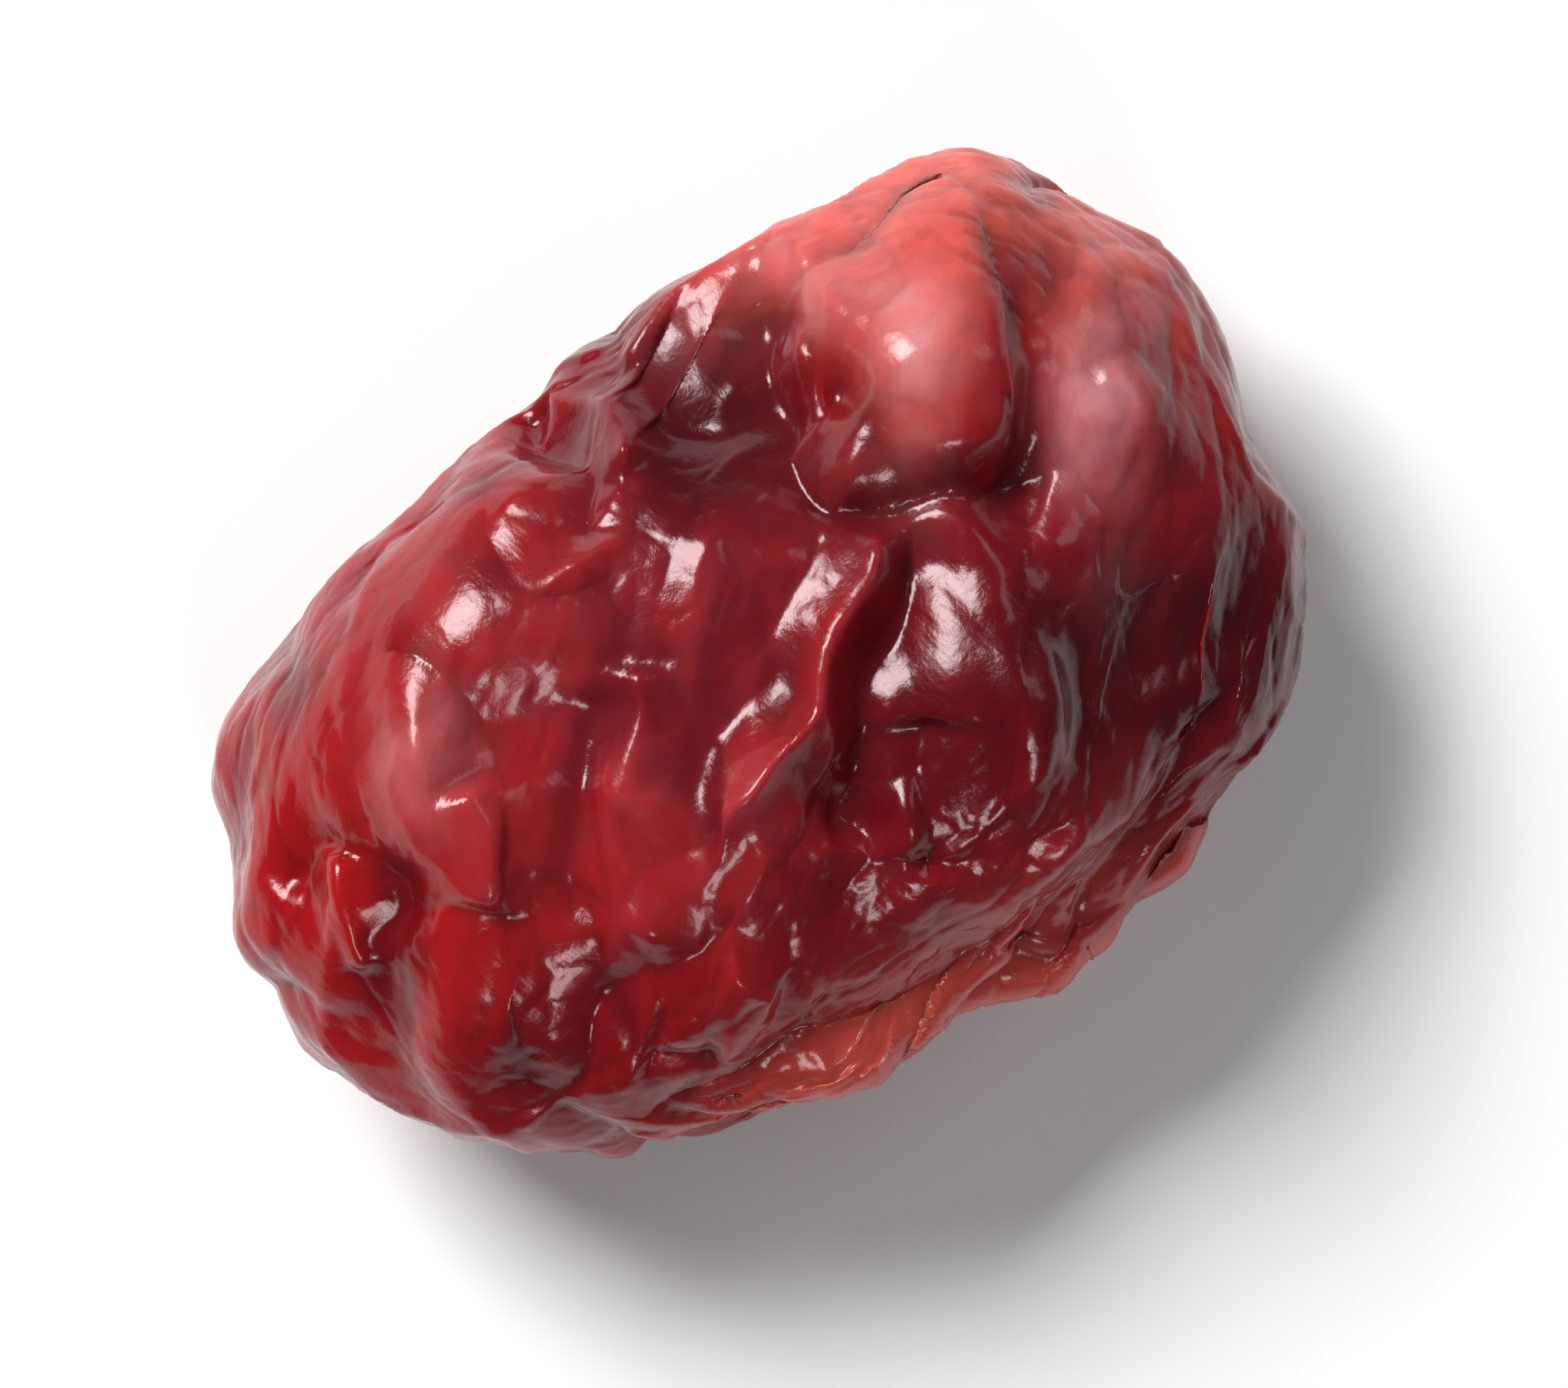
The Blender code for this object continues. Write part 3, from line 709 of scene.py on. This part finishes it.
def speckle(tree, where, scale, detail=3.0, rough=0.55, low=0.35, high=0.65):
    """Noise between 0 and 1 at so many blotches a millimetre."""
    texture = tree.nodes.new("ShaderNodeTexNoise")
    texture.inputs["Scale"].default_value = scale
    texture.inputs["Detail"].default_value = detail
    texture.inputs["Roughness"].default_value = rough
    tree.links.new(where, texture.inputs["Vector"])
    spread = tree.nodes.new("ShaderNodeMapRange")
    spread.inputs["From Min"].default_value = low
    spread.inputs["From Max"].default_value = high
    tree.links.new(texture.outputs["Fac"], spread.inputs["Value"])
    return spread.outputs["Result"]


def stretched(tree, where, scale):
    """The same place, stretched differently along each direction."""
    node = tree.nodes.new("ShaderNodeMapping")
    node.inputs["Scale"].default_value = scale
    tree.links.new(where, node.inputs["Vector"])
    return node.outputs["Vector"]


def skin_colour(tree, where):
    """Crimson, blotched and mottled, with painted glow at the far end, painted shade in the
    folds and hollows, painted sheen and highlights, and a pale tip that is partly painted
    light.
    """
    blotch = speckle(tree, where, BLOTCH_RATE)
    mottle = speckle(tree, where, MOTTLE_RATE, detail=5.0)
    colour = mix(tree, times(tree, blotch, BRIGHT_COVER), CRIMSON, BRIGHT_RED)
    colour = mix(tree, times(tree, mottle, MOTTLE_COVER), colour, MAROON)
    # dust and painted sheen, strongest on the crests
    on_crests = times_plus(tree, mask(tree, "crest"), *DUST_AND_SHEEN_ON_CRESTS)
    dust_and_sheen_amount = times(tree, mask(tree, "dust_and_sheen"), on_crests)
    dust_and_sheen_amount = times(tree, dust_and_sheen_amount, times_plus(tree, mottle, *DUST_AND_SHEEN_COVER))
    colour = mix(tree, dust_and_sheen_amount, colour, MAUVE_DUST_AND_SHEEN)
    # painted glow of light through the thin flesh
    colour = mix(tree, times(tree, mask(tree, "painted_glow"), PAINTED_GLOW_COVER), colour, BRIGHT_RED)
    # painted shade in the hollows and on the sides turned from the light
    colour = mix(tree, times(tree, mask(tree, "painted_shade"), PAINTED_SHADE_COVER), colour, MAROON)
    # pale tip, partly painted light
    pale_and_lit = times(tree, mask(tree, "pale_and_lit"), times_plus(tree, mottle, *PALE_AND_LIT_COVER))
    colour = mix(tree, pale_and_lit, colour, PALE_AND_LIT_TIP)
    # painted highlights, broken up by the blotches
    colour = mix(tree, times(tree, mask(tree, "painted_highlight"), blotch), colour, HIGHLIGHT_PINK)
    # painted shade in the valleys and creases
    colour = mix(tree, times(tree, mask(tree, "crease_shade"), CREASE_SHADE_COVER), colour, MAROON)
    # painted glow along the lips
    colour = mix(tree, times(tree, mask(tree, "lit_rim"), RIM_GLOW_COVER), colour, RIM_GLOW_RED)
    inner = mix(tree, speckle(tree, where, FLESH_RATE), FLESH, FLESH_DARK)
    return mix(tree, mask(tree, "flesh"), colour, inner)


def skin_bump(tree, where):
    """Pores, and hair-fine creases that run across the berry."""
    pores = speckle(tree, where, PORE_RATE, detail=4.0, rough=0.6, low=0.3, high=0.7)
    across = stretched(tree, where, HAIR_STRETCH)
    hairs = speckle(tree, across, HAIR_RATE, detail=2.0, low=0.3, high=0.7)
    bump = tree.nodes.new("ShaderNodeBump")
    bump.inputs["Strength"].default_value = BUMP_STRENGTH
    bump.inputs["Distance"].default_value = BUMP_DISTANCE_MM * METRES_PER_MM
    height = times_plus(tree, hairs, HAIR_SHARE, times(tree, pores, PORE_SHARE))
    tree.links.new(height, bump.inputs["Height"])
    return bump.outputs["Normal"]


def skin_roughness(tree, where):
    """Glossy, a little duller on the crests, and dull inside the mouth."""
    dull = speckle(tree, where, GLOSS_RATE, detail=4.0)
    rough = times_plus(tree, dull, ROUGHER_SPECKLE, ROUGHNESS)
    rough = times_plus(tree, mask(tree, "crest"), ROUGHER_CREST, rough)
    return times_plus(tree, mask(tree, "flesh"), ROUGHER_FLESH, rough)


def skin_material():
    """Thin glossy fruit skin over red flesh that light soaks into."""
    material = bpy.data.materials.new("berry_skin_fine")
    material.use_nodes = True
    tree = material.node_tree
    shader = tree.nodes["Principled BSDF"]
    spot = tree.nodes.new("ShaderNodeTexCoord").outputs["Object"]
    where = stretched(tree, spot, (1.0 / METRES_PER_MM,) * 3)
    tree.links.new(skin_colour(tree, where), shader.inputs["Base Color"])
    tree.links.new(skin_roughness(tree, where), shader.inputs["Roughness"])
    tree.links.new(skin_bump(tree, where), shader.inputs["Normal"])
    for socket, value in SKIN_FINISH.items():
        shader.inputs[socket].default_value = value
    return material


def make_floor():
    """A plain pale floor."""
    bpy.ops.mesh.primitive_plane_add(size=FLOOR_SIZE_MM * METRES_PER_MM)
    floor = bpy.context.object
    floor.name = "floor"
    material = bpy.data.materials.new("floor_white")
    material.use_nodes = True
    shader = material.node_tree.nodes["Principled BSDF"]
    shader.inputs["Base Color"].default_value = FLOOR_COLOUR
    shader.inputs["Roughness"].default_value = FLOOR_ROUGHNESS
    floor.data.materials.append(material)


def in_picture(right, up, height):
    """A place given by the picture's right and up directions and the height."""
    return PICTURE_RIGHT * right + PICTURE_UP * up + Vector((0.0, 0.0, height))


def make_lights():
    """Soft studio light from the picture's upper left, with two weak fills."""
    for name, place_mm, size_mm, power in LIGHTS:
        light = bpy.data.lights.new(name, "AREA")
        light.size = size_mm * METRES_PER_MM
        light.energy = power
        lamp = bpy.data.objects.new(name, light)
        lamp.location = in_picture(*place_mm) * METRES_PER_MM
        lamp.rotation_euler = (-lamp.location).to_track_quat("-Z", "Y").to_euler()
        bpy.context.scene.collection.objects.link(lamp)


def make_sky():
    """A faint even light from all round."""
    world = bpy.data.worlds.new("studio")
    world.use_nodes = True
    background = world.node_tree.nodes["Background"]
    background.inputs["Color"].default_value = SKY_COLOUR
    background.inputs["Strength"].default_value = SKY_STRENGTH
    bpy.context.scene.world = world


def make_camera():
    """Straight above the berry, turned as the photograph is."""
    camera = bpy.data.cameras.new("camera")
    camera.sensor_width = SENSOR_MM
    camera.lens = LENS_MM
    camera.clip_start, camera.clip_end = CAMERA_SEES
    view = bpy.data.objects.new("camera", camera)
    frame_width_mm = FRAME_HEIGHT_MM * PHOTO_SIZE[0] / PHOTO_SIZE[1]
    distance_mm = frame_width_mm * LENS_MM / SENSOR_MM
    place_mm = in_picture(0.0, 0.0, WIDEST_Z + distance_mm)
    turn = Matrix((PICTURE_RIGHT, PICTURE_UP, Vector((0.0, 0.0, 1.0)))).transposed()
    view.matrix_world = Matrix.Translation(place_mm * METRES_PER_MM) @ turn.to_4x4()
    bpy.context.scene.collection.objects.link(view)
    bpy.context.scene.camera = view


make_camera()
make_floor()
make_lights()
make_sky()
berry = make_berry()
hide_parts(NAME)
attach(berry, "root")
bpy.context.scene.view_settings.view_transform = "Standard"
